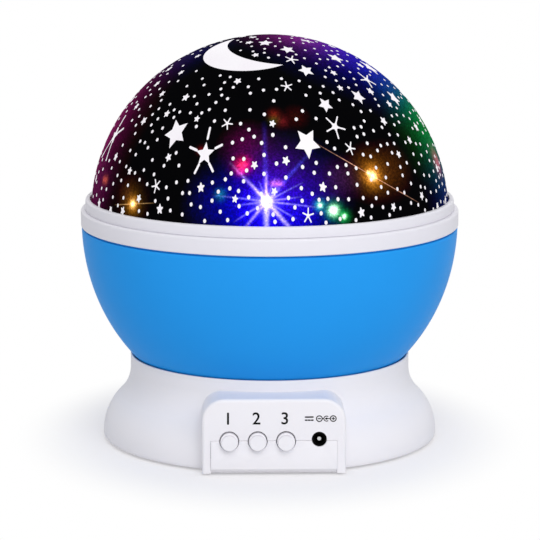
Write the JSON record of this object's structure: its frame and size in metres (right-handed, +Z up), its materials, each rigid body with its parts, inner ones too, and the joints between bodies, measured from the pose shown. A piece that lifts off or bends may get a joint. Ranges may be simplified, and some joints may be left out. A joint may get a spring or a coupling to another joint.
{
  "type": "star night light projector",
  "caption": "Turning star night light: a black dome with clear stars and a blue bowl on a flared white base with push buttons and a power socket.",
  "frame": {"origin": "on the ball's turning axis, in the plane of the rubber feet's soles", "axes": "+Z up along the turning axis, -Y the front with the buttons and the power socket, +X to the right seen from the front"},
  "size_m": [0.1308, 0.1308, 0.1404],
  "materials": {
    "white_plastic": "moulded, glossy",
    "blue_plastic": "moulded, satin to glossy",
    "clear_plastic": "clear moulded shell",
    "night_ink": "black skin with clear stars, glossy",
    "rubber": "matte",
    "screw_steel": "zinc plated",
    "spring_steel": "nickel plated",
    "contact_metal": "nickel plated",
    "cell_jacket": "printed jacket, plain",
    "circuit_board": "green solder mask",
    "lamp_board_white": "white solder mask",
    "black_plastic": "moulded",
    "plunger_plastic": "moulded",
    "gear_plastic": "acetal",
    "motor_can": "drawn can and gear case",
    "lens_red": "tinted clear",
    "lens_green": "tinted clear",
    "lens_blue": "tinted clear",
    "lens_warm": "tinted clear",
    "lead_cover": "insulated leads, one dark and one bright"
  },
  "bodies": {
    "base": {"base_housing": "white_plastic", "base_plate": "white_plastic", "aaa_cells": "cell_jacket", "battery_springs": "spring_steel", "battery_contacts": "spring_steel", "rubber_feet": "rubber", "base_screws": "screw_steel", "control_board": "circuit_board", "board_parts": "black_plastic", "board_screws": "screw_steel", "tact_switches": "black_plastic", "power_socket": "black_plastic", "socket_pin": "contact_metal", "glide_ring": "gear_plastic", "tower_base": "white_plastic", "tower_screws": "screw_steel", "tower_cover": "white_plastic", "gear_motor": "motor_can", "motor_screws": "screw_steel", "lamp_board": "lamp_board_white", "lamp_screws": "screw_steel", "lamp_red": "lens_red", "lamp_green": "lens_green", "lamp_blue": "lens_blue", "lamp_warm": "lens_warm", "battery_leads": "lead_cover", "motor_leads": "lead_cover", "lamp_leads": "lead_cover"},
    "cell_door": {"battery_door": "white_plastic"},
    "left_button": {"button_a": "white_plastic", "switch_plunger_a": "plunger_plastic"},
    "middle_button": {"button_b": "white_plastic", "switch_plunger_b": "plunger_plastic"},
    "right_button": {"button_c": "white_plastic", "switch_plunger_c": "plunger_plastic"},
    "ball": {"bowl": "blue_plastic", "thrust_washer": "gear_plastic", "ring_gear": "gear_plastic", "gear_screws": "screw_steel", "reflector_tray": "white_plastic", "bowl_ring": "white_plastic"},
    "drive": {"pinion": "gear_plastic", "motor_shaft": "screw_steel"},
    "dome": {"dome_ring": "white_plastic", "clear_dome": "clear_plastic", "star_mask": "night_ink"}
  },
  "joints": [
    {"name": "ball_spin", "type": "hinge", "parent": "base", "child": "ball", "pos_m": [0, 0, 0.02], "axis": [0, 0, 1], "continuous": true},
    {"name": "pinion_spin", "type": "hinge", "parent": "base", "child": "drive", "pos_m": [0.02, 0, 0.024], "axis": [0, 0, 1], "continuous": true},
    {"name": "dome_twist", "type": "hinge", "parent": "ball", "child": "dome", "pos_m": [0, 0, 0.08], "axis": [0, 0, 1], "range_deg": [0, 28]},
    {"name": "door_swing", "type": "hinge", "parent": "base", "child": "cell_door", "pos_m": [0, 0.0349, 0.0017], "axis": [1, 0, 0], "range_deg": [0, 75]},
    {"name": "left_press", "type": "slide", "parent": "base", "child": "left_button", "axis": [0, 1, 0], "range_m": [0, 0.0009], "stiffness_N_per_m": 600},
    {"name": "middle_press", "type": "slide", "parent": "base", "child": "middle_button", "axis": [0, 1, 0], "range_m": [0, 0.0009], "stiffness_N_per_m": 600},
    {"name": "right_press", "type": "slide", "parent": "base", "child": "right_button", "axis": [0, 1, 0], "range_m": [0, 0.0009], "stiffness_N_per_m": 600}
  ],
  "couplings": [
    {"joint": "pinion_spin", "follows": "ball_spin", "ratio": 4.3333}
  ]
}
